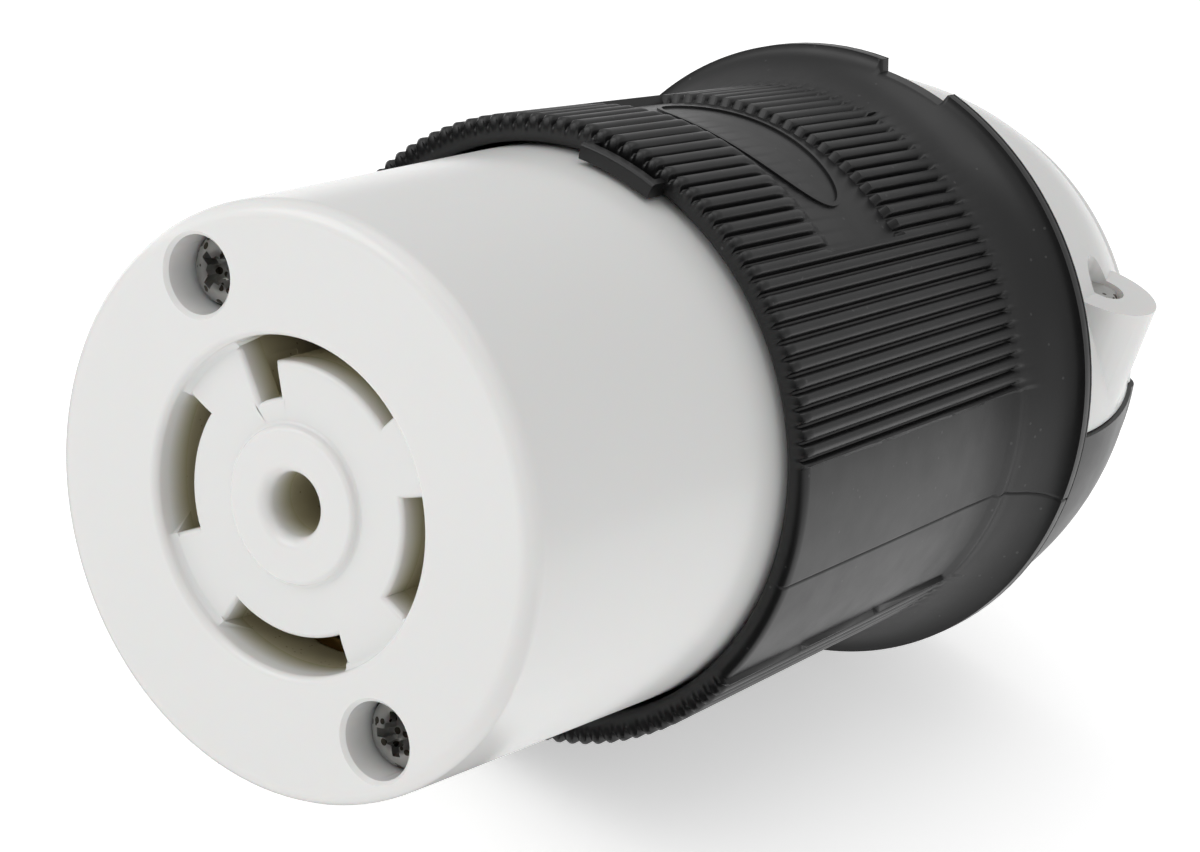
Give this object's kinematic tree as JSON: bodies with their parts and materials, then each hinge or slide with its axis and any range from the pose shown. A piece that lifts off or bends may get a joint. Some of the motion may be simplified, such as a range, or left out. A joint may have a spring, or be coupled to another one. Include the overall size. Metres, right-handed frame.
{
  "type": "locking cord connector",
  "caption": "Locking female cord connector: white round face with curved blade slots, ribbed black shell with flared skirt, and a screw-down cord clamp.",
  "frame": {"origin": "middle of the mating face, on the connector's axis", "axes": "+Y from the mating face to the cord end, +Z towards the key tab and the neutral slot, +X to the right seen from behind the mating face's viewer"},
  "size_m": [0.0612, 0.104, 0.061],
  "materials": {
    "white_nylon": "glossy moulded nylon",
    "black_nylon": "satin moulded nylon",
    "beige_thermoset": "matt moulded thermoset",
    "brass_contact": "bright stamped",
    "zinc_steel": "zinc plated",
    "brass_screw": "bright",
    "silver_screw": "nickel plated",
    "green_screw": "green plated",
    "seal_rubber": "soft matt"
  },
  "bodies": {
    "housing": {"housing_shell": "black_nylon", "cord_seal": "seal_rubber", "assembly_nuts": "zinc_steel"},
    "interior": {"face_body": "white_nylon", "contact_carrier": "beige_thermoset", "contact_x": "brass_contact", "contact_y": "brass_contact", "contact_z": "brass_contact", "contact_neutral": "brass_contact", "ground_sleeve": "brass_contact", "ground_strap": "brass_contact", "terminal_block": "beige_thermoset", "block_screws": "zinc_steel"},
    "long_screw_upper": {"assembly_screw_upper": "zinc_steel"},
    "long_screw_lower": {"assembly_screw_lower": "zinc_steel"},
    "clamp": {"cord_clamp": "white_nylon", "clamp_nuts": "zinc_steel"},
    "clamp_screw_left": {"clamp_screw_left": "zinc_steel"},
    "clamp_screw_right": {"clamp_screw_right": "zinc_steel"},
    "plate_x": {"terminal_plate_x": "zinc_steel"},
    "binding_screw_x": {"terminal_screw_x": "brass_screw"},
    "plate_y": {"terminal_plate_y": "zinc_steel"},
    "binding_screw_y": {"terminal_screw_y": "brass_screw"},
    "plate_z": {"terminal_plate_z": "zinc_steel"},
    "binding_screw_z": {"terminal_screw_z": "brass_screw"},
    "plate_neutral": {"terminal_plate_neutral": "zinc_steel"},
    "binding_screw_neutral": {"terminal_screw_neutral": "silver_screw"},
    "plate_ground": {"terminal_plate_ground": "zinc_steel"},
    "binding_screw_ground": {"terminal_screw_ground": "green_screw"}
  },
  "joints": [
    {"name": "interior_slide", "type": "slide", "parent": "housing", "child": "interior", "axis": [0, -1, 0], "range_m": [0, 0.009]},
    {"name": "long_screw_upper_turn", "type": "hinge", "parent": "interior", "child": "long_screw_upper", "pos_m": [-0.01538, 0.005, 0.01385], "axis": [0, -1, 0], "range_deg": [0, 4099]},
    {"name": "long_screw_lower_turn", "type": "hinge", "parent": "interior", "child": "long_screw_lower", "pos_m": [0.01538, 0.005, -0.01385], "axis": [0, -1, 0], "range_deg": [0, 4099]},
    {"name": "plate_x_lift", "type": "slide", "parent": "interior", "child": "plate_x", "axis": [0.9863, 0, 0.165], "range_m": [0, 0.003]},
    {"name": "binding_screw_x_turn", "type": "hinge", "parent": "plate_x", "child": "binding_screw_x", "pos_m": [0.01539, 0.047, 0.00258], "axis": [0.9863, 0, 0.165], "range_deg": [0, 1370]},
    {"name": "plate_y_lift", "type": "slide", "parent": "interior", "child": "plate_y", "axis": [0.2538, 0, -0.9673], "range_m": [0, 0.003]},
    {"name": "binding_screw_y_turn", "type": "hinge", "parent": "plate_y", "child": "binding_screw_y", "pos_m": [0.00396, 0.047, -0.01509], "axis": [0.2538, 0, -0.9673], "range_deg": [0, 1370]},
    {"name": "plate_z_lift", "type": "slide", "parent": "interior", "child": "plate_z", "axis": [-0.9732, 0, -0.23], "range_m": [0, 0.003]},
    {"name": "binding_screw_z_turn", "type": "hinge", "parent": "plate_z", "child": "binding_screw_z", "pos_m": [-0.01518, 0.047, -0.00359], "axis": [-0.9732, 0, -0.23], "range_deg": [0, 1370]},
    {"name": "plate_neutral_lift", "type": "slide", "parent": "interior", "child": "plate_neutral", "axis": [-0.1547, 0, 0.988], "range_m": [0, 0.003]},
    {"name": "binding_screw_neutral_turn", "type": "hinge", "parent": "plate_neutral", "child": "binding_screw_neutral", "pos_m": [-0.00241, 0.047, 0.01541], "axis": [-0.1547, 0, 0.988], "range_deg": [0, 1370]},
    {"name": "plate_ground_lift", "type": "slide", "parent": "interior", "child": "plate_ground", "axis": [0.5878, 0, 0.809], "range_m": [0, 0.003]},
    {"name": "binding_screw_ground_turn", "type": "hinge", "parent": "plate_ground", "child": "binding_screw_ground", "pos_m": [0.00917, 0.047, 0.01262], "axis": [0.5878, 0, 0.809], "range_deg": [0, 1370]},
    {"name": "clamp_slide", "type": "slide", "parent": "housing", "child": "clamp", "axis": [0, 0, 1], "range_m": [0, 0.005]},
    {"name": "clamp_screw_left_turn", "type": "hinge", "parent": "housing", "child": "clamp_screw_left", "pos_m": [-0.0216, 0.0918, -0.009], "axis": [0, 0, -1], "range_deg": [0, 2277]},
    {"name": "clamp_screw_right_turn", "type": "hinge", "parent": "housing", "child": "clamp_screw_right", "pos_m": [0.0216, 0.0918, -0.009], "axis": [0, 0, -1], "range_deg": [0, 2277]}
  ],
  "couplings": [
    {"joint": "long_screw_upper_turn", "follows": "interior_slide", "rad_per_m": 7913.3},
    {"joint": "long_screw_lower_turn", "follows": "interior_slide", "rad_per_m": 7913.3},
    {"joint": "binding_screw_x_turn", "follows": "plate_x_lift", "rad_per_m": 7913.3},
    {"joint": "binding_screw_y_turn", "follows": "plate_y_lift", "rad_per_m": 7913.3},
    {"joint": "binding_screw_z_turn", "follows": "plate_z_lift", "rad_per_m": 7913.3},
    {"joint": "binding_screw_neutral_turn", "follows": "plate_neutral_lift", "rad_per_m": 7913.3},
    {"joint": "binding_screw_ground_turn", "follows": "plate_ground_lift", "rad_per_m": 7913.3},
    {"joint": "clamp_screw_left_turn", "follows": "clamp_slide", "rad_per_m": 7913.3},
    {"joint": "clamp_screw_right_turn", "follows": "clamp_slide", "rad_per_m": 7913.3}
  ]
}
